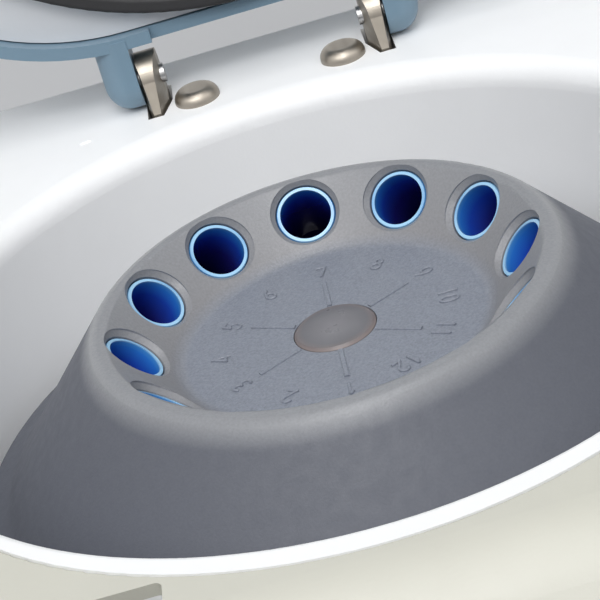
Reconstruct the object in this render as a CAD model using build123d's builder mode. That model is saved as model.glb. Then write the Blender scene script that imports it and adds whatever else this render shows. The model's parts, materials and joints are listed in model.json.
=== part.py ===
from build123d import *
from math import atan2, cos, radians, sin, sqrt, tan
import os

# High-speed microcentrifuge with a twelve-place fixed-angle rotor.
# Millimetres, +Z up. The origin is on the spindle axis at bench level, and the front faces -Y.
# Heights inside the rotor chamber are counted from the deck, which is level with the rotor's rim.

# Housing
DECK_Z = 112.0  # deck above the bench
HALF_WIDTH = 113.0
FRONT_Y = -125.0
REAR_Y = 115.0
CORNER_R = 16.0
ROOF_EDGE_R = 4.0
DECK_WALL = 4.0
SIDE_WALL = 3.0
SPLIT_Z = 40.0  # joint between the top cover and the base pan
BREAK_Y = -84.0  # where the deck bends down to the front slope
NOSE_Z = 60.0  # where the slope meets the front wall
BEND_R = 14.0
SLOPE = atan2(DECK_Z - NOSE_Z, BREAK_Y - FRONT_Y)
MID_Y = (FRONT_Y + REAR_Y) / 2
BASE_Z = 8.0  # underside of the base pan
PAN_FLOOR = 3.0
FLOOR_Z = BASE_Z + PAN_FLOOR
SEAM = 0.8

# Bowl
BOWL_R = 73.0
BOWL_WALL = 3.5
MOUTH_R = 74.0
MOUTH_SHIFT = 3.0  # the mouth is wider behind than in front
FRONT_ROUND = 1.0  # rounding of the mouth's edge, which grows from front to rear
REAR_ROUND = 4.6
BOWL_DEPTH = 42.0
BOWL_FLOOR = 3.0
BOWL_FILLET = 6.0
LIP_R = 75.2  # outer edge of the white lip that the front panel follows
LIP_GAP = 0.12
SHAFT_HOLE_R = 14.0

# Rotor, with depths below the rim
RIM_R = 40.0
LAND_R = 37.5
DISH_R = 27.1
DISH_DEPTH = 10.1
SKIRT_SLOPE = radians(48.6)
SKIRT_R = 63.5
SKIRT_DEPTH = (SKIRT_R - RIM_R) * tan(SKIRT_SLOPE)
FOOT_R = 69.0
FOOT_DEPTH = 29.2
ROTOR_DEPTH = 36.5
ROTOR_WALL = 3.0
HOLLOW_R = 57.0
HOLLOW_MID_R = 44.2
HOLLOW_MID_DEPTH = 26.8
HOLLOW_TOP_R = 29.0
HUB_R = 13.0
CAP_R = 7.15
CAP_SEAT_R = 7.3
NUT_SEAT_DEPTH = 17.0
POCKETS = 12
POCKET_RING_R = 33.1
POCKET_TILT = 43.0
POCKET_R = 5.6
POCKET_MOUTH_R = 6.4
POCKET_DEPTH = 36.5
SLEEVE_SINK = 0.95
SLEEVE_RIM_R = 5.5
SLEEVE_TOP_R = 5.24
SLEEVE_R = 5.2
SLEEVE_BORE_R = 4.7
SLEEVE_FLANGE = 1.6

# Drive
RUN = 0.05  # running clearance
SHAFT_R = 4.0
SEAT_R = 7.0
HUB_BORE_R = 5.05
TIP_R = 3.0
CAN_R = 36.0
CAN_BOTTOM_Z = 17.0
PLATE_Z = 54.0
PLATE_T = 3.0
DAMPER_RING_R = 62.0
POST_TOP_Z = 42.0
DAMPER_H = PLATE_Z - POST_TOP_Z

# Lid, drawn closed with heights above the deck
LID_OPEN = 95.0
HINGE_Y = 92.7
HINGE_UP = 5.9
LID_FRONT_Y = -86.0
LID_REAR_Y = 84.5
LID_HALF = 86.0
LID_CORNER_R = 60.0
LID_TOP = 20.0
LID_GAP = 0.6
LID_WALL = 2.6
LID_EDGE_R = 9.0
WINDOW_HOLE_R = 38.0
WINDOW_R = 42.0
WINDOW_T = 2.5
RING_R = 47.0
RING_T = 2.0
LINER_UP = 4.0
LINER_T = 2.0
LINER_HOLE_R = 50.0
GASKET_R = 78.2
GASKET_BORE_R = 75.0
GASKET_UP = 0.4
EAR_INNER_X = 26.2
EAR_STRAIGHT_X = 28.5
EAR_OUTER_X = 33.5
EAR_R = 5.5
PIN_R = 2.0
PIN_END_X = 30.5

# Hinge brackets and their slots
SLOT_FRONT_Y = 84.6
SLOT_FLARE_Y = 91.5
SLOT_REAR_Y = 99.5
SLOT_OUTER_X = 26.4
SLOT_TIP_X = 23.0
SLOT_INNER_X = 20.8
BRACKET_INNER_X = 21.5
BRACKET_OUTER_X = 25.9
BRACKET_FOOT_T = 2.0
DECK_SCREW_X = 15.6
DECK_SCREW_Y = 88.3
DECK_SCREW_R = 4.75

# Front panel
PANEL_REAR_Y = -40.0
PANEL_HALF = 97.0
PANEL_SLOPE = 60.0  # length of the panel below the bend
PANEL_T = 2.2
PANEL_GAP = 0.3
PANEL_CORNER_R = 8.0
PANEL_MID = 33.4  # distance down the slope from the bend to the middle of the controls
BOARD_DEPTH = 11.0
BOARD_T = 1.6
KEY_GAP = 0.3
KEY_PROUD = 1.6
KEY_FLANGE = 1.5
KEY_TRAVEL = 1.2
SWITCH_H = 3.4
KEY_STEM = BOARD_DEPTH - PANEL_T - SWITCH_H - KEY_TRAVEL - 1.8
KEYS = {
    "speed_up_key": (12.0, 10.5, 17.0, 13.0),
    "speed_down_key": (12.0, -8.5, 17.0, 13.0),
    "time_up_key": (33.0, 10.5, 17.0, 13.0),
    "time_down_key": (33.0, -8.5, 17.0, 13.0),
    "short_spin_key": (54.0, 10.5, 17.0, 13.0),
    "lid_release_key": (54.0, -8.5, 17.0, 13.0),
    "start_stop_key": (77.0, 1.0, 16.0, 32.0),
}
DISPLAY_U = -46.0
DISPLAY_V = 1.0
DISPLAY_W = 78.0
DISPLAY_H = 32.0

# Latch
HOOK_LEFTS = (33.0, -43.5)  # left edge of each hook
HOOK_Y = -72.5
HOOK_T = 3.0
HOOK_STEM = 4.5
HOOK_TOE = 5.0
HOOK_LOW = 16.5
HOOK_TOE_T = 3.0
LATCH_SLOT_X = 38.0
LATCH_SLOT_W = 14.0
LATCH_SLOT_Y = -72.7
LATCH_SLOT_H = 5.4
SLIDER_TRAVEL = 6.0
SLIDER_Y = -81.5
SLIDER_T = 4.0
SLIDER_TOP = 10.0
SLIDER_H = 5.5

# Rear of the base pan
INLET_X = 62.0
SWITCH_X = 20.0
SOCKET_Z = 25.0
SHELF_Z = 36.0  # underside of the drip shelf over the inlet
SHELF_T = 2.0
SHELF_W = 32.0
SHELF_REACH = 20.0

HINGE_AXIS = Axis((0, HINGE_Y, DECK_Z + HINGE_UP), (1, 0, 0))
PANEL_PLANE = Plane(
    origin=(0, BREAK_Y - PANEL_MID * cos(SLOPE), DECK_Z - PANEL_MID * sin(SLOPE)),
    x_dir=(1, 0, 0),
    z_dir=(0, -sin(SLOPE), cos(SLOPE)),
)

os.makedirs("parts", exist_ok=True)


def save(part, name):
    """Label a finished piece and write it to its own file."""
    part.label = name
    export_step(part, f"parts/{name}.step")


def save_open(part, name):
    """Write a piece of the lid, which is drawn closed and stored open."""
    save(part.rotate(HINGE_AXIS, -LID_OPEN), name)


def deck(up=0.0):
    """Horizontal plane at a height above the deck."""
    return Plane.XY.offset(DECK_Z + up)


def level(z):
    """Horizontal plane at a height above the bench."""
    return Plane.XY.offset(z)


# Housing shapes

MOUTH_DEPTH = 5.0

def housing_side(inset, wall, bottom_z):
    """Side outline of the housing, drawn inside its skin by the given wall thicknesses."""
    break_y = BREAK_Y + inset * tan(SLOPE / 2)
    front_y = FRONT_Y + wall
    nose_z = DECK_Z - inset - (break_y - front_y) * tan(SLOPE)
    with BuildSketch(Plane.YZ) as side:
        with BuildLine():
            Polyline(
                (REAR_Y - wall, bottom_z),
                (REAR_Y - wall, DECK_Z - inset),
                (break_y, DECK_Z - inset),
                (front_y, nose_z),
                (front_y, bottom_z),
                close=True,
            )
        make_face()
        fillet(side.vertices().sort_by_distance((break_y, DECK_Z - inset))[0], BEND_R - inset)
    return side.sketch


def housing_plan(wall, z):
    """Plan of the housing, inside its skin by the wall thickness."""
    with BuildSketch(level(z)) as plan:
        with Locations((0, MID_Y)):
            RectangleRounded(2 * (HALF_WIDTH - wall), REAR_Y - FRONT_Y - 2 * wall, CORNER_R - wall)
    return plan.sketch


def bowl_form(grow, depth, top_depth, floor_fillet):
    """Solid of the bowl below its mouth: a round pot that widens towards the rear."""
    with BuildPart() as pot:
        with BuildSketch(deck(-depth)):
            Circle(BOWL_R + grow)
        with BuildSketch(deck(-top_depth)):
            with Locations((0, MOUTH_SHIFT)):
                Circle(MOUTH_R + grow)
        loft()
        fillet(pot.edges().filter_by(GeomType.CIRCLE).sort_by(Axis.Z)[0], floor_fillet)
    return pot.part


def drawn_back(depth, radius):
    """How far an edge rounded to a radius has drawn back at a depth below the deck."""
    return radius - sqrt(radius**2 - max(radius - depth, 0) ** 2)


def mouth_circle(depth):
    """Middle and radius of the bowl's mouth at a depth above the start of its rounding."""
    climb = (MOUTH_DEPTH - depth) / (BOWL_DEPTH - MOUTH_DEPTH)
    rear = MOUTH_SHIFT + MOUTH_R + climb * (MOUTH_SHIFT + MOUTH_R - BOWL_R) + drawn_back(depth, REAR_ROUND)
    front = MOUTH_SHIFT - MOUTH_R + climb * (MOUTH_SHIFT - MOUTH_R + BOWL_R) - drawn_back(depth, FRONT_ROUND)
    return (rear + front) / 2, (rear - front) / 2


def panel_form(proud, thickness, grow, lip_gap):
    """Bent strip of the front panel, cut round the lip of the bowl."""

    def above(height):
        end = PANEL_SLOPE + grow
        return [
            (PANEL_REAR_Y + grow, DECK_Z + height),
            (BREAK_Y - height * tan(SLOPE / 2), DECK_Z + height),
            (
                BREAK_Y - end * cos(SLOPE) - height * sin(SLOPE),
                DECK_Z - end * sin(SLOPE) + height * cos(SLOPE),
            ),
        ]

    outside = above(proud)
    inside = above(-thickness)
    with BuildSketch(Plane.YZ) as strip:
        with BuildLine():
            Polyline(*outside, *reversed(inside), close=True)
        make_face()
        fillet(strip.vertices().sort_by_distance(outside[1])[0], BEND_R + proud)
        fillet(strip.vertices().sort_by_distance(inside[1])[0], BEND_R - thickness)
    with BuildPart() as form:
        extrude(strip.sketch, amount=PANEL_HALF + grow, both=True)
        fillet(form.edges().filter_by(Axis.Z), PANEL_CORNER_R)
        fillet(form.edges().filter_by(Axis((0, 0, 0), PANEL_PLANE.z_dir)), PANEL_CORNER_R)
        with BuildSketch(deck(-2 * DECK_WALL)):
            Circle(LIP_R + lip_gap)
        extrude(amount=4 * DECK_WALL, mode=Mode.SUBTRACT)
    return form.part


with BuildPart() as bowl_mouth:
    for mouth_depth in (MOUTH_DEPTH, 4.0, 2.8, 1.8, 1.0, 0.4, 0.1, 0):
        mouth_y, mouth_r = mouth_circle(mouth_depth)
        with BuildSketch(deck(-mouth_depth)):
            with Locations((0, mouth_y)):
                Circle(mouth_r)
    loft()
    with BuildSketch(deck()):
        with Locations((0, mouth_y)):
            Circle(mouth_r)
    extrude(amount=1)


bowl_outside = bowl_form(BOWL_WALL, BOWL_DEPTH + BOWL_FLOOR, DECK_WALL - 1, BOWL_FILLET + BOWL_WALL)
bowl_inside = bowl_form(0, BOWL_DEPTH, MOUTH_DEPTH, BOWL_FILLET)
panel_recess = panel_form(2 * DECK_WALL, PANEL_T, PANEL_GAP, 0)
panel_strip = panel_form(0, PANEL_T, 0, LIP_GAP)
cover_side = housing_side(0, 0, SPLIT_Z)
cover_plan = housing_plan(0, SPLIT_Z)
cavity_side = housing_side(DECK_WALL, SIDE_WALL, SPLIT_Z - 1)
cavity_plan = housing_plan(SIDE_WALL, SPLIT_Z - 1)

with BuildSketch(deck(-DECK_WALL - 1)) as hinge_slots:
    with BuildLine():
        Polyline(
            (SLOT_TIP_X, SLOT_FRONT_Y),
            (SLOT_OUTER_X, SLOT_FRONT_Y),
            (SLOT_OUTER_X, SLOT_REAR_Y),
            (SLOT_INNER_X, SLOT_REAR_Y),
            (SLOT_INNER_X, SLOT_FLARE_Y),
            close=True,
        )
    make_face()
    mirror(about=Plane.YZ)

with BuildSketch(deck(-DECK_WALL - 1)) as latch_slots:
    with Locations((LATCH_SLOT_X, LATCH_SLOT_Y), (-LATCH_SLOT_X, LATCH_SLOT_Y)):
        RectangleRounded(LATCH_SLOT_W, LATCH_SLOT_H, 1.2)

# Top cover: deck, slope and bowl in one moulding

BOSSES = [(98, 98, 110), (-98, 98, 110), (98, -106, 78), (-98, -106, 78)]
BOSS_R = 5.0
VENT_COUNT = 11
VENT_PITCH = 8.0
VENT_W = 3.0
VENT_H = 26.0
VENT_Z = 72.0

with BuildPart() as cover_cavity:
    extrude(cavity_side, amount=HALF_WIDTH - SIDE_WALL, both=True)
    extrude(cavity_plan, amount=DECK_Z, mode=Mode.INTERSECT)
    add(bowl_outside, mode=Mode.SUBTRACT)

with BuildPart() as top_cover:
    extrude(cover_side, amount=HALF_WIDTH, both=True)
    extrude(cover_plan, amount=DECK_Z, mode=Mode.INTERSECT)
    rim = top_cover.edges().filter_by(Axis.Z, reverse=True).filter_by(lambda e: e.center().Z > SPLIT_Z + 1)
    bends = rim.filter_by(Axis.X).filter_by(lambda e: FRONT_Y + 1 < e.center().Y < REAR_Y - 1)
    fillet(rim - bends, ROOF_EDGE_R)
    add(cover_cavity.part, mode=Mode.SUBTRACT)
    add(bowl_inside, mode=Mode.SUBTRACT)
    add(bowl_mouth.part, mode=Mode.SUBTRACT)
    for x, y, top in BOSSES:
        with BuildSketch(level(SPLIT_Z)):
            with Locations((x, y)):
                Circle(BOSS_R)
        extrude(amount=top - SPLIT_Z)
        with BuildSketch(level(SPLIT_Z)):
            with Locations((x, y)):
                Circle(1.6)
        extrude(amount=18, mode=Mode.SUBTRACT)
    add(panel_recess, mode=Mode.SUBTRACT)
    with BuildSketch(deck(-BOWL_DEPTH - BOWL_FLOOR - 1)):
        Circle(SHAFT_HOLE_R)
    extrude(amount=BOWL_FLOOR + 2, mode=Mode.SUBTRACT)
    with BuildSketch(PANEL_PLANE.offset(-2 * DECK_WALL)):
        RectangleRounded(180, 45, 4)
    extrude(amount=2 * DECK_WALL, mode=Mode.SUBTRACT)
    extrude(hinge_slots.sketch, amount=DECK_WALL + 2, mode=Mode.SUBTRACT)
    extrude(latch_slots.sketch, amount=DECK_WALL + 2, mode=Mode.SUBTRACT)
    with BuildSketch(deck(-DECK_WALL - 1)):
        with Locations((DECK_SCREW_X, DECK_SCREW_Y), (-DECK_SCREW_X, DECK_SCREW_Y)):
            Circle(2.2)
    extrude(amount=DECK_WALL + 2, mode=Mode.SUBTRACT)
    with BuildSketch(deck()):
        with Locations(Location((-39.9, 82.3), 15)):
            SlotOverall(2.8, 1.3)
    extrude(amount=-0.5, taper=30, mode=Mode.SUBTRACT)
    with BuildSketch(Plane.XZ.offset(-REAR_Y - 1)):
        with Locations((0, VENT_Z)):
            with GridLocations(VENT_PITCH, 0, VENT_COUNT, 1):
                SlotOverall(VENT_H, VENT_W, rotation=90)
    extrude(amount=SIDE_WALL + 2, mode=Mode.SUBTRACT)
save(top_cover.part, "top_cover")

# Front panel with its openings and board posts

KEY_PLACES = list(KEYS.values())
POSTS = [(-84, -17), (84, -19), (-84, 13), (-2.5, 14)]
PANEL_BACK = PANEL_PLANE.offset(-PANEL_T)

with BuildPart() as front_panel:
    add(panel_strip)
    fillet(
        front_panel.edges().filter_by(GeomType.CIRCLE).filter_by(
            lambda e: abs(e.center().Z - DECK_Z) < 0.01 and abs(e.radius - LIP_R - LIP_GAP) < 0.01
        ),
        0.5,
    )
    with BuildSketch(PANEL_PLANE.offset(-PANEL_T - 1)):
        with Locations((DISPLAY_U, DISPLAY_V)):
            RectangleRounded(DISPLAY_W, DISPLAY_H, 3)
        for u, v, w, h in KEY_PLACES:
            with Locations((u, v)):
                RectangleRounded(w, h, 2.5)
    extrude(amount=PANEL_T + 2, mode=Mode.SUBTRACT)
    extrude(latch_slots.sketch, amount=DECK_WALL + 2, mode=Mode.SUBTRACT)
    with BuildSketch(PANEL_BACK):
        with Locations(*POSTS):
            Circle(2.4)
    extrude(amount=-(BOARD_DEPTH - PANEL_T))
save(front_panel.part, "front_panel")

with BuildPart() as display_window:
    with BuildSketch(PANEL_PLANE.offset(-PANEL_T)):
        with Locations((DISPLAY_U, DISPLAY_V)):
            RectangleRounded(DISPLAY_W - 0.4, DISPLAY_H - 0.4, 2.8)
    extrude(amount=PANEL_T - 0.3)
save(display_window.part, "display_window")

with BuildPart() as display_module:
    with BuildSketch(PANEL_BACK):
        with Locations((DISPLAY_U, DISPLAY_V)):
            Rectangle(70, 26)
    extrude(amount=-4.2)
    with BuildSketch(PANEL_PLANE.offset(-PANEL_T - 4.2)):
        with Locations((DISPLAY_U, DISPLAY_V)):
            with GridLocations(60, 18, 2, 2):
                Circle(1.5)
    extrude(amount=-(BOARD_DEPTH - PANEL_T - 4.2))
save(display_module.part, "display_module")

# Keys: a cap, a flange behind the panel that keeps it in, and a stem for its switch

for name, (u, v, w, h) in KEYS.items():
    with BuildPart() as key:
        with BuildSketch(PANEL_PLANE.offset(-PANEL_T - 0.4)):
            with Locations((u, v)):
                RectangleRounded(w - 2 * KEY_GAP, h - 2 * KEY_GAP, 2.2)
        extrude(amount=PANEL_T + 0.4 + KEY_PROUD)
        fillet(key.faces().sort_by(Axis((0, 0, 0), PANEL_PLANE.z_dir))[-1].edges(), 0.6)
        with BuildSketch(PANEL_PLANE.offset(-PANEL_T - 1.4)):
            with Locations((u, v)):
                RectangleRounded(w + 2 * KEY_FLANGE, h + 2 * KEY_FLANGE, 3)
        extrude(amount=1.0)
        with BuildSketch(PANEL_PLANE.offset(-PANEL_T - 1.4)):
            with Locations((u, v)):
                Rectangle(4, 4)
        extrude(amount=-KEY_STEM)
    save(key.part, name)

with BuildPart() as control_board:
    with BuildSketch(PANEL_PLANE.offset(-BOARD_DEPTH)):
        with Locations((0, -2)):
            RectangleRounded(174, 38, 2)
    extrude(amount=-BOARD_T)
save(control_board.part, "control_board")

with BuildPart() as key_switches:
    with BuildSketch(PANEL_PLANE.offset(-BOARD_DEPTH)):
        for u, v, w, h in KEY_PLACES:
            with Locations((u, v)):
                Rectangle(6, 6)
    extrude(amount=2.6)
    with BuildSketch(PANEL_PLANE.offset(-BOARD_DEPTH)):
        for u, v, w, h in KEY_PLACES:
            with Locations((u, v)):
                Circle(1.7)
    extrude(amount=SWITCH_H)
save(key_switches.part, "key_switches")

# Base pan with posts, vents, the openings for inlet and switch, and a shelf that keeps drips off the inlet

POST_PLACES = PolarLocations(DAMPER_RING_R, 3, start_angle=90)
pan_plan = housing_plan(0, BASE_Z)
pan_inner_plan = housing_plan(SIDE_WALL, FLOOR_Z)
tongue_root_plan = housing_plan(SIDE_WALL - 0.5, SPLIT_Z - 6)
tongue_plan = housing_plan(SIDE_WALL + 0.2, SPLIT_Z - SEAM)
tongue_inner_plan = housing_plan(SIDE_WALL + 1.7, SPLIT_Z - 6)

with BuildPart() as base_pan:
    extrude(pan_plan, amount=SPLIT_Z - SEAM - BASE_Z)
    fillet(base_pan.faces().sort_by(Axis.Z)[0].edges(), 3)
    extrude(pan_inner_plan, amount=SPLIT_Z, mode=Mode.SUBTRACT)
    extrude(tongue_root_plan, amount=6 - SEAM)
    extrude(tongue_plan, amount=SEAM + 3)
    extrude(tongue_inner_plan, amount=10, mode=Mode.SUBTRACT)
    with BuildSketch(level(SHELF_Z)):
        with Locations((INLET_X, REAR_Y - SIDE_WALL - SHELF_REACH / 2)):
            Rectangle(SHELF_W, SHELF_REACH + 1)
    extrude(amount=SHELF_T)
    with BuildSketch(level(FLOOR_Z)):
        with POST_PLACES:
            Circle(8)
        with Locations(*[(x, y) for x, y, top in BOSSES]):
            Circle(BOSS_R)
    extrude(amount=SPLIT_Z - 0.5 - FLOOR_Z)
    with BuildSketch(level(SPLIT_Z - 0.5)):
        with POST_PLACES:
            Circle(8)
    extrude(amount=POST_TOP_Z - SPLIT_Z + 0.5)
    with BuildSketch(level(BASE_Z)):
        with Locations(*[(x, y) for x, y, top in BOSSES]):
            Circle(1.8)
    extrude(amount=SPLIT_Z, mode=Mode.SUBTRACT)
    with BuildSketch(level(BASE_Z)):
        with Locations(*[(x, y) for x, y, top in BOSSES]):
            Circle(4)
    extrude(amount=20, mode=Mode.SUBTRACT)
    with BuildSketch(level(BASE_Z - 1)):
        with Locations((0, -88)):
            with GridLocations(9, 0, 9, 1):
                SlotOverall(26, 3, rotation=90)
    extrude(amount=PAN_FLOOR + 2, mode=Mode.SUBTRACT)
    with BuildSketch(Plane.XZ.offset(-REAR_Y - 1)):
        with Locations((INLET_X, SOCKET_Z)):
            Rectangle(28, 20)
        with Locations((SWITCH_X, SOCKET_Z)):
            Rectangle(27.4, 17.4)
    extrude(amount=SIDE_WALL + 4, mode=Mode.SUBTRACT)
save(base_pan.part, "base_pan")

with BuildPart() as rubber_feet:
    with BuildSketch(level(0)):
        with Locations((82, 84), (-82, 84), (82, -94), (-82, -94)):
            Circle(10)
    extrude(amount=BASE_Z, taper=6)
    fillet(rubber_feet.faces().group_by(Axis.Z)[0].edges(), 1)
save(rubber_feet.part, "rubber_feet")

with BuildPart() as case_screws:
    with BuildSketch(level(BASE_Z + 17)):
        with Locations(*[(x, y) for x, y, top in BOSSES]):
            Circle(3.2)
    extrude(amount=3)
    with BuildSketch(level(BASE_Z + 20)):
        with Locations(*[(x, y) for x, y, top in BOSSES]):
            Circle(1.6)
    extrude(amount=24)
save(case_screws.part, "case_screws")

# Motor on its plate and rubber dampers

with BuildPart() as motor_plate:
    with BuildSketch(level(PLATE_Z)):
        Circle(46)
        with PolarLocations(DAMPER_RING_R, 3, start_angle=90):
            Circle(10)
        with PolarLocations(DAMPER_RING_R / 2, 3, start_angle=90):
            Rectangle(DAMPER_RING_R, 20)
        Circle(CAN_R + 0.5, mode=Mode.SUBTRACT)
        with PolarLocations(DAMPER_RING_R, 3, start_angle=90):
            Circle(2.6, mode=Mode.SUBTRACT)
    extrude(amount=PLATE_T)
save(motor_plate.part, "motor_plate")

with BuildPart() as damper:
    with BuildSketch(Plane.XZ):
        with BuildLine():
            Polyline(
                (2.4, 0), (8.5, 0), (8.5, 3), (7, 6), (8.5, 9), (8.5, DAMPER_H), (2.4, DAMPER_H), close=True
            )
        make_face()
    revolve(axis=Axis.Z)

with BuildPart() as rubber_dampers:
    with Locations((0, 0, POST_TOP_Z)):
        with PolarLocations(DAMPER_RING_R, 3, start_angle=90):
            add(damper.part)
save(rubber_dampers.part, "rubber_dampers")

# Motor: can, stator, bearings, and the spindle with its magnet

BEARING_R = 9.5
BEARING_T = 5.0
CAN_TOP_Z = 60.0
CAN_WALL = 2.0
CAN_FLANGE_R = 44.0
END_PLATE = 7.0

with BuildPart() as motor_can:
    with BuildSketch(level(CAN_BOTTOM_Z)):
        Circle(CAN_R)
    extrude(amount=CAN_TOP_Z - CAN_BOTTOM_Z)
    fillet(motor_can.edges().sort_by(Axis.Z)[0], 3)
    with BuildSketch(level(PLATE_Z + PLATE_T)):
        Circle(CAN_FLANGE_R)
    extrude(amount=CAN_TOP_Z - PLATE_Z - PLATE_T)
    with BuildSketch(level(CAN_BOTTOM_Z + END_PLATE)):
        Circle(CAN_R - CAN_WALL)
    extrude(amount=CAN_TOP_Z - CAN_BOTTOM_Z - 2 * END_PLATE, mode=Mode.SUBTRACT)
    with BuildSketch(level(CAN_BOTTOM_Z + CAN_WALL)):
        Circle(BEARING_R)
    extrude(amount=CAN_TOP_Z - CAN_BOTTOM_Z - 2 * CAN_WALL, mode=Mode.SUBTRACT)
    with BuildSketch(level(CAN_TOP_Z - CAN_WALL)):
        Circle(6)
    extrude(amount=CAN_WALL, mode=Mode.SUBTRACT)
save(motor_can.part, "motor_can")

with BuildPart() as motor_stator:
    with BuildSketch(level(27)):
        Circle(CAN_R - CAN_WALL - RUN)
        Circle(22, mode=Mode.SUBTRACT)
        with PolarLocations(27.5, 9):
            Rectangle(7, 5, mode=Mode.SUBTRACT)
    extrude(amount=22)
save(motor_stator.part, "motor_stator")

with BuildPart() as motor_bearings:
    with BuildSketch(level(CAN_BOTTOM_Z + CAN_WALL)):
        Circle(BEARING_R)
        Circle(SHAFT_R + RUN, mode=Mode.SUBTRACT)
    extrude(amount=BEARING_T)
    with BuildSketch(level(CAN_TOP_Z - CAN_WALL - BEARING_T)):
        Circle(BEARING_R)
        Circle(SHAFT_R + RUN, mode=Mode.SUBTRACT)
    extrude(amount=BEARING_T)
save(motor_bearings.part, "motor_bearings")

with BuildPart() as motor_magnet:
    with BuildSketch(level(28)):
        Circle(21)
        Circle(SHAFT_R, mode=Mode.SUBTRACT)
    extrude(amount=20)
save(motor_magnet.part, "motor_magnet")

SEAT_TOP_Z = DECK_Z - ROTOR_DEPTH
SEAT_Z = DECK_Z - BOWL_DEPTH + 1

with BuildPart() as spindle:
    with BuildSketch(Plane.XZ):
        with BuildLine():
            Polyline(
                (0, CAN_BOTTOM_Z + CAN_WALL + 0.5),
                (SHAFT_R, CAN_BOTTOM_Z + CAN_WALL + 0.5),
                (SHAFT_R, SEAT_Z),
                (SEAT_R, SEAT_Z),
                (SEAT_R, SEAT_TOP_Z),
                (HUB_BORE_R - RUN, SEAT_TOP_Z),
                (HUB_BORE_R - RUN, DECK_Z - NUT_SEAT_DEPTH - 0.5),
                (TIP_R, DECK_Z - NUT_SEAT_DEPTH - 0.5),
                (TIP_R, DECK_Z - 12.8),
                (0, DECK_Z - 12.8),
                close=True,
            )
        make_face()
    revolve(axis=Axis.Z)
    chamfer(spindle.edges().sort_by(Axis.Z)[-1], 0.5)
save(spindle.part, "spindle")

with BuildPart() as motor_bolts:
    with BuildSketch(level(CAN_TOP_Z)):
        with PolarLocations(40, 4, start_angle=45):
            Circle(3.2)
    extrude(amount=2.6)
    with BuildSketch(level(PLATE_Z + PLATE_T)):
        with PolarLocations(DAMPER_RING_R, 3, start_angle=90):
            Circle(4)
    extrude(amount=3)
    with BuildSketch(level(POST_TOP_Z + 1)):
        with PolarLocations(DAMPER_RING_R, 3, start_angle=90):
            Circle(2)
    extrude(amount=PLATE_Z + PLATE_T - POST_TOP_Z - 1)
save(motor_bolts.part, "motor_bolts")

with BuildPart() as chamber_seal:
    with BuildSketch(level(DECK_Z - BOWL_DEPTH - BOWL_FLOOR)):
        Circle(SHAFT_HOLE_R)
        Circle(SHAFT_R + 1, mode=Mode.SUBTRACT)
    extrude(amount=BOWL_FLOOR)
save(chamber_seal.part, "chamber_seal")

# Rotor: a revolved body with twelve slanted pockets, each bored from a countersunk mouth

ROTOR_SECTION = Plane(origin=(0, 0, DECK_Z), x_dir=(1, 0, 0), z_dir=(0, -1, 0))
DISH_STEP = (LAND_R - DISH_R) / DISH_DEPTH
POCKET_STRAIGHT = 24.0
POCKET_END_R = 2.4

def pocket_plane(number):
    """Plane on the dish at a pocket's mouth, facing out along the pocket. Number 1 is in front."""
    turn = radians(-90 - (number - 1) * 360 / POCKETS)
    tilt = radians(POCKET_TILT)
    depth = (LAND_R - POCKET_RING_R) / DISH_STEP
    return Plane(
        origin=(POCKET_RING_R * cos(turn), POCKET_RING_R * sin(turn), DECK_Z - depth),
        x_dir=(-sin(turn), cos(turn), 0),
        z_dir=(-sin(tilt) * cos(turn), -sin(tilt) * sin(turn), cos(tilt)),
    )


POCKET_PLANES = [pocket_plane(number) for number in range(1, POCKETS + 1)]

with BuildPart() as pocket_bore:
    with BuildSketch(Plane.XZ):
        with BuildLine():
            Polyline(
                (0, 3),
                (POCKET_MOUTH_R, 3),
                (POCKET_MOUTH_R, 0.1),
                (POCKET_R, -0.8),
                (POCKET_R, -POCKET_STRAIGHT),
                (POCKET_END_R, -POCKET_DEPTH),
                (0, -POCKET_DEPTH),
                close=True,
            )
        make_face()
    revolve(axis=Axis.Z)

with BuildSketch(ROTOR_SECTION) as rotor_section:
    with BuildLine():
        Polyline(
            (HUB_BORE_R, -ROTOR_DEPTH),
            (HUB_BORE_R, -NUT_SEAT_DEPTH),
            (CAP_SEAT_R, -NUT_SEAT_DEPTH),
            (CAP_SEAT_R, -DISH_DEPTH),
            (DISH_R, -DISH_DEPTH),
            (LAND_R, 0),
            (RIM_R, 0),
            (SKIRT_R, -SKIRT_DEPTH),
            (FOOT_R, -FOOT_DEPTH),
            (FOOT_R, -ROTOR_DEPTH),
            (HOLLOW_R, -ROTOR_DEPTH),
            (HOLLOW_MID_R, -HOLLOW_MID_DEPTH),
            (HOLLOW_TOP_R, -DISH_DEPTH - ROTOR_WALL),
            (HUB_R, -DISH_DEPTH - ROTOR_WALL),
            (HUB_R, -ROTOR_DEPTH),
            close=True,
        )
    make_face()
    for corner, rounding in (
        ((DISH_R, -DISH_DEPTH), 3),
        ((LAND_R, 0), 0.8),
        ((RIM_R, 0), 2.2),
        ((SKIRT_R, -SKIRT_DEPTH), 5),
        ((FOOT_R, -FOOT_DEPTH), 1),
    ):
        fillet(rotor_section.vertices().sort_by_distance(corner)[0], rounding)

with BuildPart() as rotor_body:
    revolve(rotor_section.sketch, axis=Axis.Z)
    with Locations(*POCKET_PLANES):
        add(pocket_bore.part, mode=Mode.SUBTRACT)
save(rotor_body.part, "rotor_body")

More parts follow.
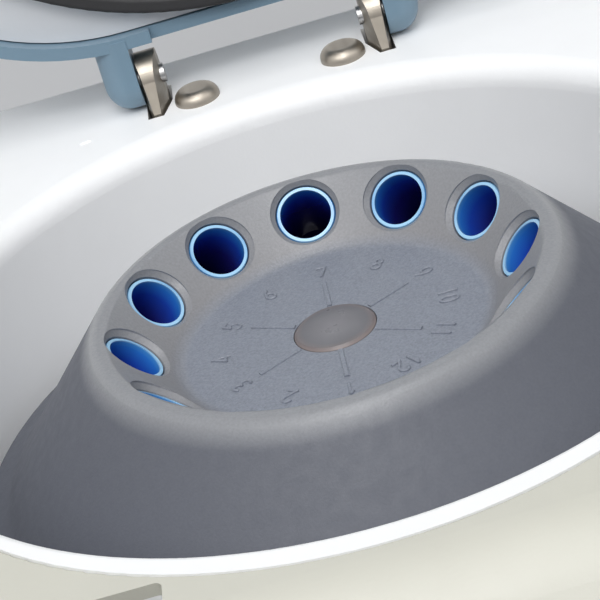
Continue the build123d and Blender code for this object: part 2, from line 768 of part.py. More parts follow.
with BuildPart() as sleeve_form:
    with BuildSketch(Plane.XZ):
        with BuildLine():
            Polyline(
                (SLEEVE_BORE_R, -SLEEVE_SINK),
                (SLEEVE_TOP_R, -SLEEVE_SINK),
                (SLEEVE_RIM_R, -SLEEVE_SINK - 0.5),
                (SLEEVE_RIM_R, -SLEEVE_SINK - SLEEVE_FLANGE),
                (SLEEVE_R, -SLEEVE_SINK - SLEEVE_FLANGE),
                (SLEEVE_R, -POCKET_STRAIGHT),
                (POCKET_END_R - 0.4, -POCKET_DEPTH),
                (0, -POCKET_DEPTH),
                (0, -POCKET_DEPTH + 0.8),
                (POCKET_END_R - 0.9, -POCKET_DEPTH + 0.8),
                (SLEEVE_BORE_R, -POCKET_STRAIGHT),
                close=True,
            )
        make_face()
    revolve(axis=Axis.Z)

for number, plane in enumerate(POCKET_PLANES, start=1):
    with BuildPart() as sleeve:
        with Locations(plane):
            add(sleeve_form.part)
    save(sleeve.part, f"sleeve_{number:02d}")

NUT_FLANGE_R = 6.8

with BuildPart() as rotor_nut:
    with BuildSketch(deck(-NUT_SEAT_DEPTH)):
        Circle(NUT_FLANGE_R)
    extrude(amount=1)
    with BuildSketch(deck(-NUT_SEAT_DEPTH + 1)):
        RegularPolygon(5.4, 6)
    extrude(amount=3)
    with BuildSketch(deck(-NUT_SEAT_DEPTH)):
        Circle(TIP_R + RUN)
    extrude(amount=4, mode=Mode.SUBTRACT)
save(rotor_nut.part, "rotor_nut")

with BuildPart() as centre_cap:
    with BuildSketch(ROTOR_SECTION):
        with BuildLine():
            top = ThreePointArc((0, -9.4), (3.5, -9.45), (CAP_R - 0.5, -9.65))
            Polyline(
                (CAP_R - 0.5, -9.65),
                (CAP_R, -DISH_DEPTH),
                (CAP_R, -NUT_SEAT_DEPTH + 1),
                (CAP_R - 1.3, -NUT_SEAT_DEPTH + 1),
                (CAP_R - 1.3, -12.4),
                (0, -12.4),
                (0, -9.4),
            )
        make_face()
    revolve(axis=Axis.Z)
save(centre_cap.part, "centre_cap")

# Lid, drawn closed

with BuildSketch(deck(LID_GAP)) as lid_plan:
    with Locations((0, (LID_FRONT_Y + LID_REAR_Y) / 2)):
        RectangleRounded(2 * LID_HALF, LID_REAR_Y - LID_FRONT_Y, LID_CORNER_R)

HINGE_SECTION = Plane(origin=(0, HINGE_Y, DECK_Z + HINGE_UP), x_dir=(1, 0, 0), z_dir=(0, -1, 0))

with BuildSketch(HINGE_SECTION) as ear_half:
    with BuildLine():
        Polyline((EAR_OUTER_X, 0), (EAR_INNER_X, 0), (EAR_INNER_X, EAR_R), (EAR_STRAIGHT_X, EAR_R))
        EllipticalCenterArc((EAR_STRAIGHT_X, 0), EAR_OUTER_X - EAR_STRAIGHT_X, EAR_R, arc_size=90)
    make_face()

with BuildSketch(HINGE_SECTION) as ear_section:
    add(ear_half.sketch_local)
    mirror(about=Plane.XZ)

with BuildPart() as lid_ear:
    revolve(ear_half.sketch, axis=HINGE_AXIS)
    extrude(ear_section.sketch, amount=HINGE_Y - LID_REAR_Y + 2)
    with BuildSketch(Plane.YZ.offset(EAR_INNER_X - 1)):
        with Locations((HINGE_Y, DECK_Z + HINGE_UP)):
            Circle(PIN_R + RUN)
    extrude(amount=PIN_END_X - EAR_INNER_X + 1.3, mode=Mode.SUBTRACT)

LINER_POSTS = [(64, 57), (-64, 57), (64, -58), (-64, -58)]
UNDER_LID = LID_TOP - LID_WALL
NOTCH_HALF = 21.0
NOTCH_H = 2.8  # the lid's rear wall passes over the deck screws

with BuildPart() as lid_shell:
    extrude(lid_plan.sketch, amount=LID_TOP - LID_GAP)
    fillet(lid_shell.faces().sort_by(Axis.Z)[-1].edges(), LID_EDGE_R)
    offset(amount=-LID_WALL, openings=lid_shell.faces().sort_by(Axis.Z)[0])
    add(lid_ear.part)
    mirror(lid_ear.part, about=Plane.YZ)
    with BuildSketch(deck(LID_GAP)):
        with Locations((0, LID_REAR_Y)):
            Rectangle(2 * NOTCH_HALF, 4 * LID_WALL)
    extrude(amount=NOTCH_H, mode=Mode.SUBTRACT)
    with BuildSketch(deck(UNDER_LID - 1)):
        Circle(WINDOW_HOLE_R)
    extrude(amount=LID_WALL + 2, mode=Mode.SUBTRACT)
    with BuildSketch(deck(LINER_UP + LINER_T)):
        with Locations(*LINER_POSTS):
            Circle(4)
    extrude(amount=UNDER_LID - LINER_UP - LINER_T + 1)
save_open(lid_shell.part, "lid_shell")

with BuildPart() as lid_liner:
    with BuildSketch(deck(LINER_UP)):
        add(offset(lid_plan.sketch_local, amount=-LID_WALL - 0.3, mode=Mode.PRIVATE))
        Circle(LINER_HOLE_R, mode=Mode.SUBTRACT)
    extrude(amount=LINER_T)
    with BuildSketch(deck(LINER_UP)):
        Circle(LINER_HOLE_R)
        Circle(LINER_HOLE_R - 2, mode=Mode.SUBTRACT)
    extrude(amount=UNDER_LID - WINDOW_T - RING_T - LINER_UP - 0.3)
    with BuildSketch(deck(LINER_UP - 1.4)):
        with Locations((0, MOUTH_SHIFT)):
            Circle(GASKET_R + 0.4)
            Circle(GASKET_BORE_R - 1, mode=Mode.SUBTRACT)
    extrude(amount=1.4)
save_open(lid_liner.part, "lid_liner")

with BuildPart() as lid_gasket:
    with BuildSketch(deck(GASKET_UP)):
        with Locations((0, MOUTH_SHIFT)):
            Circle(GASKET_R)
            Circle(GASKET_BORE_R, mode=Mode.SUBTRACT)
    extrude(amount=LINER_UP - 1.4 - GASKET_UP)
    fillet(lid_gasket.faces().sort_by(Axis.Z)[0].edges(), 0.9)
save_open(lid_gasket.part, "lid_gasket")

with BuildPart() as lid_window:
    with BuildSketch(deck(UNDER_LID - WINDOW_T)):
        Circle(WINDOW_R)
    extrude(amount=WINDOW_T)
    with BuildSketch(deck(UNDER_LID)):
        Circle(WINDOW_HOLE_R - 0.2)
    extrude(amount=LID_WALL - 0.6)
save_open(lid_window.part, "lid_window")

with BuildPart() as window_ring:
    with BuildSketch(deck(UNDER_LID - WINDOW_T - RING_T)):
        Circle(RING_R)
        Circle(WINDOW_HOLE_R, mode=Mode.SUBTRACT)
    extrude(amount=RING_T)
    with BuildSketch(deck(UNDER_LID - WINDOW_T)):
        Circle(RING_R)
        Circle(WINDOW_R + 0.2, mode=Mode.SUBTRACT)
    extrude(amount=WINDOW_T)
save_open(window_ring.part, "window_ring")

HOOK_FLANGE_T = 2.0
HOOK_FLANGE_Y = -80.0
HOOK_SCREW_Y = -77.3
HOOK_BACK_Y = HOOK_Y + HOOK_T / 2

with BuildPart() as latch_hooks:
    for left in HOOK_LEFTS:
        with BuildSketch(deck(LINER_UP - HOOK_FLANGE_T)):
            with Locations((left, HOOK_FLANGE_Y)):
                Rectangle(HOOK_STEM + HOOK_TOE, HOOK_BACK_Y - HOOK_FLANGE_Y, align=(Align.MIN, Align.MIN))
        extrude(amount=HOOK_FLANGE_T)
        with BuildSketch(Plane.XZ.offset(-HOOK_Y)):
            with BuildLine():
                Polyline(
                    (left, DECK_Z + LINER_UP - HOOK_FLANGE_T),
                    (left, DECK_Z - HOOK_LOW),
                    (left + HOOK_STEM + HOOK_TOE, DECK_Z - HOOK_LOW),
                    (left + HOOK_STEM + HOOK_TOE, DECK_Z - HOOK_LOW + HOOK_TOE_T),
                    (left + HOOK_STEM, DECK_Z - HOOK_LOW + HOOK_TOE_T),
                    (left + HOOK_STEM, DECK_Z + LINER_UP - HOOK_FLANGE_T),
                    close=True,
                )
            make_face()
        extrude(amount=HOOK_T / 2, both=True)
save_open(latch_hooks.part, "latch_hooks")

with BuildPart() as lid_screws:
    with BuildSketch(deck(UNDER_LID - WINDOW_T - RING_T - 1.6)):
        with PolarLocations(44.5, 6):
            Circle(2.2)
    extrude(amount=1.6)
    with BuildSketch(deck(LINER_UP - 1.6)):
        with Locations(*LINER_POSTS):
            Circle(3)
    extrude(amount=1.6)
    with BuildSketch(deck(LINER_UP - HOOK_FLANGE_T - 1.1)):
        for left in HOOK_LEFTS:
            with Locations((left + 6.4, HOOK_SCREW_Y)):
                Circle(2.2)
    extrude(amount=1.1)
save_open(lid_screws.part, "lid_screws")

# Hinge: steel brackets that rise through the deck, pins, and the screws that hold the brackets

with BuildSketch(Plane.YZ) as bracket_side:
    with Locations((HINGE_Y, DECK_Z + HINGE_UP)):
        Circle(EAR_R)
    with BuildLine():
        Polyline(
            (SLOT_FRONT_Y + 0.6, DECK_Z - DECK_WALL - BRACKET_FOOT_T),
            (SLOT_FRONT_Y + 0.6, DECK_Z + 0.3),
            (HINGE_Y - 4.8, DECK_Z + HINGE_UP + 2.7),
            (HINGE_Y + EAR_R, DECK_Z + HINGE_UP),
            (SLOT_REAR_Y - 0.8, DECK_Z),
            (SLOT_REAR_Y - 0.8, DECK_Z - DECK_WALL - BRACKET_FOOT_T),
            close=True,
        )
    make_face()

with BuildSketch(deck(-20)) as bracket_plan:
    with BuildLine():
        Polyline(
            (SLOT_TIP_X + 0.5, SLOT_FRONT_Y + 0.6),
            (BRACKET_OUTER_X - 0.9, SLOT_FRONT_Y + 0.6),
            (BRACKET_OUTER_X, SLOT_FLARE_Y - 2),
            (BRACKET_OUTER_X, SLOT_REAR_Y),
            (BRACKET_INNER_X, SLOT_REAR_Y),
            (BRACKET_INNER_X, SLOT_FLARE_Y),
            close=True,
        )
    make_face()

with BuildPart() as hinge_bracket:
    extrude(bracket_side.sketch, amount=2 * SLOT_OUTER_X)
    extrude(bracket_plan.sketch, amount=60, mode=Mode.INTERSECT)
    with BuildSketch(deck(-DECK_WALL - BRACKET_FOOT_T)):
        with Locations((8, SLOT_FRONT_Y)):
            Rectangle(BRACKET_OUTER_X - 8, 14, align=(Align.MIN, Align.MIN))
        with Locations((DECK_SCREW_X, DECK_SCREW_Y)):
            Circle(2.2, mode=Mode.SUBTRACT)
    extrude(amount=BRACKET_FOOT_T)
    with BuildSketch(Plane.YZ.offset(BRACKET_INNER_X - 1)):
        with Locations((HINGE_Y, DECK_Z + HINGE_UP)):
            Circle(PIN_R)
    extrude(amount=8, mode=Mode.SUBTRACT)

with BuildPart() as hinge_brackets:
    add(hinge_bracket.part)
    mirror(hinge_bracket.part, about=Plane.YZ)
save(hinge_brackets.part, "hinge_brackets")

with BuildPart() as hinge_pin:
    with BuildSketch(Plane.YZ.offset(BRACKET_INNER_X - 0.8)):
        with Locations((HINGE_Y, DECK_Z + HINGE_UP)):
            Circle(PIN_R)
    extrude(amount=PIN_END_X - BRACKET_INNER_X + 0.8)

with BuildPart() as hinge_pins:
    add(hinge_pin.part)
    mirror(hinge_pin.part, about=Plane.YZ)
save(hinge_pins.part, "hinge_pins")

with BuildPart() as deck_screws:
    with Locations((DECK_SCREW_X, DECK_SCREW_Y, DECK_Z), (-DECK_SCREW_X, DECK_SCREW_Y, DECK_Z)):
        Cylinder(DECK_SCREW_R, 2.6, align=(Align.CENTER, Align.CENTER, Align.MIN))
    fillet(deck_screws.edges().group_by(Axis.Z)[-1], 2.2)
    with BuildSketch(deck(-DECK_WALL - BRACKET_FOOT_T - 1.5)):
        with Locations((DECK_SCREW_X, DECK_SCREW_Y), (-DECK_SCREW_X, DECK_SCREW_Y)):
            Circle(2)
    extrude(amount=DECK_WALL + BRACKET_FOOT_T + 1.5)
save(deck_screws.part, "deck_screws")

# Latch: a slider with two tongues that move over the toes of the hooks

TONGUE_GAP = 1.7
TONGUE_W = 3.8
TONGUE_TOP = 10.7
TONGUE_LOW = 13.2
TONGUE_REAR_Y = -71.8
ROD_R = 2.2
ROD_DEPTH = SLIDER_TOP + SLIDER_H / 2
COIL_X = -66.0
TOE_ENDS = [left + HOOK_STEM + HOOK_TOE for left in HOOK_LEFTS]

with BuildPart() as latch_slider:
    with BuildSketch(deck(-SLIDER_TOP - SLIDER_H)):
        with Locations((0.5, SLIDER_Y)):
            Rectangle(95, SLIDER_T)
    extrude(amount=SLIDER_H)
    with BuildSketch(deck(-TONGUE_LOW)):
        for toe_end in TOE_ENDS:
            with Locations((toe_end + TONGUE_GAP, SLIDER_Y)):
                Rectangle(TONGUE_W, TONGUE_REAR_Y - SLIDER_Y, align=(Align.MIN, Align.MIN))
    extrude(amount=TONGUE_LOW - TONGUE_TOP)
    with BuildSketch(Plane.YZ.offset(-47)):
        with Locations((SLIDER_Y, DECK_Z - ROD_DEPTH)):
            Circle(ROD_R)
    extrude(amount=-SLIDER_TRAVEL - 8)
save(latch_slider.part, "latch_slider")

with BuildPart() as latch_guide:
    with BuildSketch(deck(-17)):
        with Locations((14, -85), (-14, -85)):
            Rectangle(6, 14, align=(Align.CENTER, Align.MIN))
    extrude(amount=8.2)
    with BuildSketch(deck(-SLIDER_TOP - SLIDER_H - 0.2)):
        with Locations((0, SLIDER_Y)):
            Rectangle(60, SLIDER_T + 0.4)
    extrude(amount=SLIDER_H + 0.4, mode=Mode.SUBTRACT)
    add(bowl_outside, mode=Mode.SUBTRACT)
save(latch_guide.part, "latch_guide")

with BuildPart() as latch_coil:
    with BuildSketch(deck(-18)):
        with Locations((COIL_X, -81)):
            Rectangle(24, 9)
    extrude(amount=9.2)
    with BuildSketch(deck(-14)):
        with Locations((COIL_X, -73.6)):
            Rectangle(24, 6.6)
    extrude(amount=10)
    with BuildSketch(Plane.YZ.offset(COIL_X + 15)):
        with Locations((SLIDER_Y, DECK_Z - ROD_DEPTH)):
            Circle(ROD_R + 0.4)
    extrude(amount=-30, mode=Mode.SUBTRACT)
save(latch_coil.part, "latch_coil")

# Electrical parts on the base pan

with BuildPart() as transformer:
    with BuildSketch(level(FLOOR_Z)):
        with Locations((-70, 42)):
            RectangleRounded(50, 44, 2)
    extrude(amount=4)
    with BuildSketch(level(FLOOR_Z + 4)):
        with Locations((-70, 42)):
            Rectangle(46, 22)
    extrude(amount=38)
    with BuildSketch(level(FLOOR_Z + 11)):
        with Locations((-70, 42)):
            RectangleRounded(30, 40, 5)
    extrude(amount=24)
save(transformer.part, "transformer")

with BuildPart() as motor_driver:
    with BuildSketch(level(FLOOR_Z)):
        with Locations((80, 25)):
            with GridLocations(42, 60, 2, 2):
                Circle(2.5)
    extrude(amount=6)
    with BuildSketch(level(FLOOR_Z + 6)):
        with Locations((80, 25)):
            Rectangle(50, 68)
    extrude(amount=1.6)
    with BuildSketch(level(FLOOR_Z + 7.6)):
        with Locations((66, 44), (66, 26)):
            Circle(7)
    extrude(amount=22)
    with BuildSketch(level(FLOOR_Z + 7.6)):
        with Locations((91, 25)):
            Rectangle(16, 44)
    extrude(amount=3)
    with BuildSketch(level(FLOOR_Z + 10.6)):
        with Locations((91, 25)):
            with GridLocations(0, 6, 1, 8):
                Rectangle(16, 1.6)
    extrude(amount=14)
save(motor_driver.part, "motor_driver")

SOCKET_DEPTH = 17.0
BLADES = [(INLET_X, SOCKET_Z + 3.5), (INLET_X - 7, SOCKET_Z - 2.5), (INLET_X + 7, SOCKET_Z - 2.5)]

with BuildPart() as power_inlet:
    with BuildSketch(Plane.XZ.offset(-REAR_Y - 2)):
        with Locations((INLET_X, SOCKET_Z)):
            RectangleRounded(34, 24, 2)
    extrude(amount=2)
    with BuildSketch(Plane.XZ.offset(-REAR_Y)):
        with Locations((INLET_X, SOCKET_Z)):
            Rectangle(27.6, 19.6)
    extrude(amount=22)
    with BuildSketch(Plane.XZ.offset(-REAR_Y - 2)):
        with Locations((INLET_X, SOCKET_Z)):
            RectangleRounded(24.4, 16.4, 2)
    extrude(amount=SOCKET_DEPTH, mode=Mode.SUBTRACT)
    with BuildSketch(Plane.XZ.offset(-REAR_Y + 1)):
        with Locations(*BLADES):
            Rectangle(2, 4)
    extrude(amount=26, mode=Mode.SUBTRACT)
save(power_inlet.part, "power_inlet")

with BuildPart() as inlet_pins:
    with BuildSketch(Plane.XZ.offset(-REAR_Y + 1)):
        with Locations(*BLADES):
            Rectangle(2, 4)
    extrude(amount=26)
save(inlet_pins.part, "inlet_pins")

ROCKER_TILT = 8.0
ROCKER_Y = 111.0

with BuildPart() as switch_bezel:
    with BuildSketch(Plane.XZ.offset(-REAR_Y - 2)):
        with Locations((SWITCH_X, SOCKET_Z)):
            RectangleRounded(31, 21, 2)
    extrude(amount=2)
    with BuildSketch(Plane.XZ.offset(-REAR_Y)):
        with Locations((SWITCH_X, SOCKET_Z)):
            Rectangle(27, 17)
    extrude(amount=17)
    with BuildSketch(Plane.XZ.offset(-REAR_Y - 2)):
        with Locations((SWITCH_X, SOCKET_Z)):
            RectangleRounded(23.4, 13.4, 1)
    extrude(amount=14, mode=Mode.SUBTRACT)
    with BuildSketch(level(SOCKET_Z - 8)):
        with Locations((SWITCH_X, ROCKER_Y)):
            Circle(1.25)
    extrude(amount=16, mode=Mode.SUBTRACT)
save(switch_bezel.part, "switch_bezel")

with BuildPart() as power_rocker:
    with BuildSketch(Plane(origin=(SWITCH_X, ROCKER_Y, SOCKET_Z)).rotated((0, 0, ROCKER_TILT))):
        with BuildLine():
            Polyline((-10.6, 6), (0, 4.2), (10.6, 6), (8.5, -3), (-8.5, -3), close=True)
        make_face()
    extrude(amount=6.4, both=True)
    with BuildSketch(level(SOCKET_Z - 7.6)):
        with Locations((SWITCH_X, ROCKER_Y)):
            Circle(1.2)
    extrude(amount=15.2)
save(power_rocker.part, "power_rocker")
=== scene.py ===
import json
from math import atan2, cos, radians, sin

import bmesh
import bpy
from mathutils import Matrix, Vector


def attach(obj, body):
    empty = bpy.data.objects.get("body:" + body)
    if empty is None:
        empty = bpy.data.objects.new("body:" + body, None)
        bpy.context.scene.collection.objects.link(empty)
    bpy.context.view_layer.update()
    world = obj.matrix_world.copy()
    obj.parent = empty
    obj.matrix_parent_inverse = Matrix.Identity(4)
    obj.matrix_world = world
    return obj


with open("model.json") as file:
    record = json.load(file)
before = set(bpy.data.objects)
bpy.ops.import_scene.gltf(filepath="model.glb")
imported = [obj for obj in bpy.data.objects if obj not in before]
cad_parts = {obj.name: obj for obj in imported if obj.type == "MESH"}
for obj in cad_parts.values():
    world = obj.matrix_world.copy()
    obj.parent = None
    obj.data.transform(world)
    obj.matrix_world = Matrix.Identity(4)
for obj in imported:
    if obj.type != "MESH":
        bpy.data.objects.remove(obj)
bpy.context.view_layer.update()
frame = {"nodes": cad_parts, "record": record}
nodes = frame["nodes"]
scene = bpy.context.scene

# Frame: metres, Z up, the spindle's axis at x = y = 0, the machine's front towards -Y

MM = 0.001
DECK = 0.112  # height of the deck above the bench
DISH_FLOOR = DECK - 0.0101  # floor of the rotor's dish
LEVEL = Vector((0, 0, 1))

# Sloping front panel, below its bend
PANEL_SLOPE = atan2(52, 41)  # against the horizontal
PANEL_BEND_Y = -0.084
PANEL_HALF = 0.0334  # from the bend to the middle of the slope
PANEL_UP = Vector((0, cos(PANEL_SLOPE), sin(PANEL_SLOPE)))
PANEL_OUT = Vector((0, -sin(PANEL_SLOPE), cos(PANEL_SLOPE)))
PANEL_MID = Vector((0, PANEL_BEND_Y, DECK)) - PANEL_UP * PANEL_HALF


# Camera: placed from the ellipses of the rim, the dish floor and the pockets

CAMERA_PLACE = (0.006405, -0.286078, DECK + 0.157364)
CAMERA_RIGHT = Vector((0.9608, -0.1072, -0.2555))
CAMERA_UP = Vector((0.27520921, 0.47799332, 0.83413564))
CAMERA_FORWARD = Vector((-0.03267134, 0.87178901, -0.48879085))
SENSOR = 36
LENS = 117.49


def aim_camera():
    eye = bpy.data.cameras.new("camera")
    camera = bpy.data.objects.new("camera", eye)
    scene.collection.objects.link(camera)
    scene.camera = camera
    turn = Matrix((CAMERA_RIGHT, CAMERA_UP, -CAMERA_FORWARD)).transposed().to_4x4()
    camera.matrix_world = Matrix.Translation(CAMERA_PLACE) @ turn
    eye.sensor_width = SENSOR
    eye.lens = LENS
    eye.clip_start = 0.01
    eye.clip_end = 50


aim_camera()


# Materials


def tint(r, g, b):
    """Linear colour of a screen colour given as 0 to 255."""
    return tuple(((v / 255 + 0.055) / 1.055) ** 2.4 for v in (r, g, b)) + (1.0,)


def grey(value):
    """Linear grey, for a ramp that carries a plain value."""
    return (value, value, value, 1.0)


EVEN = (1, 1, 1)  # a grain that is the same along all three axes
NOISE_LOW = 0.3  # the noise rarely leaves this range
NOISE_HIGH = 0.7


class Look:
    """A node material with the object's own coordinates in metres."""

    def __init__(self, name, rough=0.45, metal=0.0):
        self.material = bpy.data.materials.new(name)
        self.material.use_nodes = True
        self.tree = self.material.node_tree
        self.shader = self.tree.nodes["Principled BSDF"]
        self.shader.inputs["Roughness"].default_value = rough
        self.shader.inputs["Metallic"].default_value = metal
        self.place = self.add("ShaderNodeTexCoord").outputs["Object"]

    def add(self, kind, **settings):
        node = self.tree.nodes.new(kind)
        for key, value in settings.items():
            setattr(node, key, value)
        return node

    def join(self, source, target):
        self.tree.links.new(source, target)

    def noise(self, scale, detail, stretch=EVEN):
        mapping = self.add("ShaderNodeMapping")
        mapping.inputs["Scale"].default_value = stretch
        self.join(self.place, mapping.inputs["Vector"])
        texture = self.add("ShaderNodeTexNoise")
        texture.inputs["Scale"].default_value = scale
        texture.inputs["Detail"].default_value = detail
        self.join(mapping.outputs["Vector"], texture.inputs["Vector"])
        return texture.outputs["Fac"]

    def ramp(self, source, stops):
        """Colour that follows a value through stops, each a position and a colour."""
        node = self.add("ShaderNodeValToRGB")
        marks = node.color_ramp.elements
        while len(marks) < len(stops):
            marks.new(0.5)
        for mark, (position, colour) in zip(marks, stops):
            mark.position = position
            mark.color = colour
        self.join(source, node.inputs["Fac"])
        return node.outputs["Color"]

    def wander(self, low, high, scale, stretch=EVEN):
        """Value that wanders between two numbers from place to place."""
        node = self.add("ShaderNodeMapRange")
        node.inputs["From Min"].default_value = NOISE_LOW
        node.inputs["From Max"].default_value = NOISE_HIGH
        node.inputs["To Min"].default_value = low
        node.inputs["To Max"].default_value = high
        self.join(self.noise(scale, 3, stretch), node.inputs["Value"])
        return node.outputs["Result"]

    def colour(self, base, shade, scale=60):
        """Base colour that drifts a little from place to place."""
        low = tuple(v * (1 - shade) for v in base[:3]) + (1,)
        high = tuple(min(1.0, v * (1 + shade)) for v in base[:3]) + (1,)
        stops = [(NOISE_LOW, low), (NOISE_HIGH, high)]
        self.join(self.ramp(self.noise(scale, 3), stops), self.shader.inputs["Base Color"])

    def drift(self, low, high, scale=90, stretch=EVEN):
        """Roughness that wanders between two values."""
        self.join(self.wander(low, high, scale, stretch), self.shader.inputs["Roughness"])

    def speckle(self, source, scale, share, amount):
        """Base colour from a source, with a fine grain of a varying amount over it."""
        mix = self.add("ShaderNodeMixRGB", blend_type="MULTIPLY")
        self.join(amount, mix.inputs["Fac"])
        self.join(source, mix.inputs["Color1"])
        self.join(self.wander(1 - share, 1 + share, scale), mix.inputs["Color2"])
        self.join(mix.outputs["Color"], self.shader.inputs["Base Color"])

    def bumps(self, *layers, amount=None):
        """Fine relief: each layer is (grain per metre, height in metres, stretch)."""
        last = None
        for scale, height, stretch in layers:
            node = self.add("ShaderNodeBump")
            node.inputs["Strength"].default_value = 1.0
            if amount:
                self.join(amount, node.inputs["Strength"])
            node.inputs["Distance"].default_value = height
            self.join(self.noise(scale, 2, stretch), node.inputs["Height"])
            if last:
                self.join(last, node.inputs["Normal"])
            last = node.outputs["Normal"]
        self.join(last, self.shader.inputs["Normal"])


def moulded(name, colour, rough, grain, height, shade):
    """Moulded plastic with a fine spark-eroded grain, coarse and fine. Height in millimetres."""
    look = Look(name)
    look.colour(tint(*colour), shade)
    look.drift(*rough)
    look.bumps((grain, height * MM, EVEN), (grain * 3.1, height * 0.4 * MM, EVEN))
    return look.material


def metal(name, colour, rough=(0.25, 0.4), stretch=(1, 1, 0.05)):
    """Metal with fine drawn lines along the axis that the stretch makes long."""
    look = Look(name, metal=1.0)
    look.colour(tint(*colour), 0.06, 200)
    look.drift(*rough, scale=600, stretch=stretch)
    look.bumps((4000, 0.000004, stretch))
    return look.material


def printed(name, colour, rough=0.5):
    """Screen-printed ink."""
    look = Look(name)
    look.colour(tint(*colour), 0.04, 900)
    look.drift(rough, rough + 0.1, 800)
    return look.material


def radius(look):
    """Distance from the spindle's axis, in metres."""
    split = look.add("ShaderNodeSeparateXYZ")
    look.join(look.place, split.inputs["Vector"])
    flat = look.add("ShaderNodeCombineXYZ")
    look.join(split.outputs["X"], flat.inputs["X"])
    look.join(split.outputs["Y"], flat.inputs["Y"])
    length = look.add("ShaderNodeVectorMath", operation="LENGTH")
    look.join(flat.outputs["Vector"], length.inputs[0])
    return length.outputs["Value"]


def share_of(look, value, low, high):
    """Value mapped so that low gives 0 and high gives 1."""
    node = look.add("ShaderNodeMapRange")
    node.inputs["From Min"].default_value = low
    node.inputs["From Max"].default_value = high
    look.join(value, node.inputs["Value"])
    return node.outputs["Result"]


# Rotor greys by zone: the lighter cone and rim greys are painted light, the darker skirt grey is
# painted shade
FLOOR_GREY = tint(126, 131, 142)
CONE_LIT_GREY = tint(134, 134, 137)
RIM_LIT_GREY = tint(138, 140, 144)
SKIRT_SHADED_GREY = tint(90, 93, 102)
ROTOR_REACH = 0.07  # just past the rotor's foot; the places below are shares of it
DISH_END = 0.37
CONE_START = 0.41
RIM_PLACE = 0.58
SKIRT_START = 0.615
SKIN_GRAIN = 2300


def rotor_look():
    """Grey moulding with an eggshell skin, smoother on the pocket cone and rougher on the skirt.
    Its greys carry painted light: darker on the skirt as painted shade, lighter on the cone and rim
    as painted light.
    """
    look = Look("rotor moulding")
    share = share_of(look, radius(look), 0.0, ROTOR_REACH)
    # Greys from the axis outwards, with painted light on the cone and rim and painted shade on the
    # skirt
    greys = [
        (0.0, FLOOR_GREY),
        (DISH_END, FLOOR_GREY),
        (CONE_START, CONE_LIT_GREY),
        (RIM_PLACE, RIM_LIT_GREY),
        (SKIRT_START, SKIRT_SHADED_GREY),
    ]
    skin = [(0.36, grey(1.0)), (0.42, grey(0.45)), (0.55, grey(0.45)), (0.62, grey(0.3))]
    amount = look.ramp(share, skin)
    look.speckle(look.ramp(share, greys), SKIN_GRAIN, 0.16, amount)
    rough = look.add("ShaderNodeMath", operation="ADD")
    look.join(look.wander(0.3, 0.4, 500), rough.inputs[0])
    look.join(look.ramp(share, [(RIM_PLACE, grey(0.0)), (0.62, grey(0.24))]), rough.inputs[1])
    look.join(rough.outputs["Value"], look.shader.inputs["Roughness"])
    look.bumps((SKIN_GRAIN, 0.00009, EVEN), (5200, 0.00004, EVEN), amount=amount)
    return look.material


CAP_RADIUS = 0.0075


def cap_look():
    """Grey cap whose colour darkens outwards as painted shade and turns a little brown at its edge.
    """
    look = Look("cap plastic")
    # Painted shade: the grey darkens from the middle outwards towards the edge
    stops = [
        (0.0, tint(118, 116, 121)),
        (0.45, tint(111, 110, 114)),
        (0.75, tint(100, 99, 104)),
        (0.88, tint(109, 102, 103)),
        (0.98, tint(130, 117, 114)),
    ]
    share = share_of(look, radius(look), 0.0, CAP_RADIUS)
    look.join(look.ramp(share, stops), look.shader.inputs["Base Color"])
    look.drift(0.26, 0.4, 300)
    look.bumps((900, 0.00001, EVEN))
    return look.material


POCKET_LEAN = radians(43)  # each pocket against the spindle's axis
MOUTH_RADIUS = 0.0331  # middle of a sleeve's mouth, from the axis
MOUTH_HEIGHT = 0.1077
SLEEVE_LENGTH = 0.03


def sleeve_look():
    """Blue sleeve: a pale rim that falls to navy with depth along the slanted pocket. The pale rim
    is partly painted highlight, and the navy deep in the bore is painted shade.
    """
    look = Look("sleeve plastic")
    outward = look.add("ShaderNodeMath", operation="MULTIPLY_ADD")
    outward.inputs[1].default_value = sin(POCKET_LEAN)
    start = MOUTH_HEIGHT * cos(POCKET_LEAN) - MOUTH_RADIUS * sin(POCKET_LEAN)
    outward.inputs[2].default_value = start
    look.join(radius(look), outward.inputs[0])
    split = look.add("ShaderNodeSeparateXYZ")
    look.join(look.place, split.inputs["Vector"])
    depth = look.add("ShaderNodeMath", operation="MULTIPLY_ADD")
    depth.inputs[1].default_value = -cos(POCKET_LEAN)
    look.join(split.outputs["Z"], depth.inputs[0])
    look.join(outward.outputs["Value"], depth.inputs[2])
    share = share_of(look, depth.outputs["Value"], 0.0, SLEEVE_LENGTH)
    # Painted light along the bore: a pale rim, partly painted highlight, falling to navy painted
    # shade with depth
    stops = [
        (0.0, tint(168, 214, 244)),
        (0.036, tint(160, 208, 242)),
        (0.045, tint(70, 140, 205)),
        (0.075, tint(44, 116, 205)),
        (0.16, tint(34, 74, 184)),
        (0.34, tint(40, 40, 132)),
        (0.8, tint(22, 18, 62)),
    ]
    look.join(look.ramp(share, stops), look.shader.inputs["Base Color"])
    look.shader.inputs["Roughness"].default_value = 0.22
    look.shader.inputs["Coat Weight"].default_value = 0.3
    look.bumps((700, 0.000008, EVEN))
    return look.material


def clear_look():
    """Clear window with a faint waviness."""
    look = Look("clear window", rough=0.03)
    look.shader.inputs["Base Color"].default_value = tint(232, 240, 244)
    look.shader.inputs["Transmission Weight"].default_value = 1.0
    look.shader.inputs["IOR"].default_value = 1.49
    look.bumps((40, 0.00001, EVEN))
    return look.material


def smoked_look():
    """Smoked display face with a faint cell structure behind it."""
    look = Look("display face", rough=0.12)
    look.colour(tint(34, 42, 46), 0.1, 400)
    look.shader.inputs["Coat Weight"].default_value = 0.6
    look.shader.inputs["Coat Roughness"].default_value = 0.04
    look.bumps((2500, 0.000004, EVEN))
    return look.material


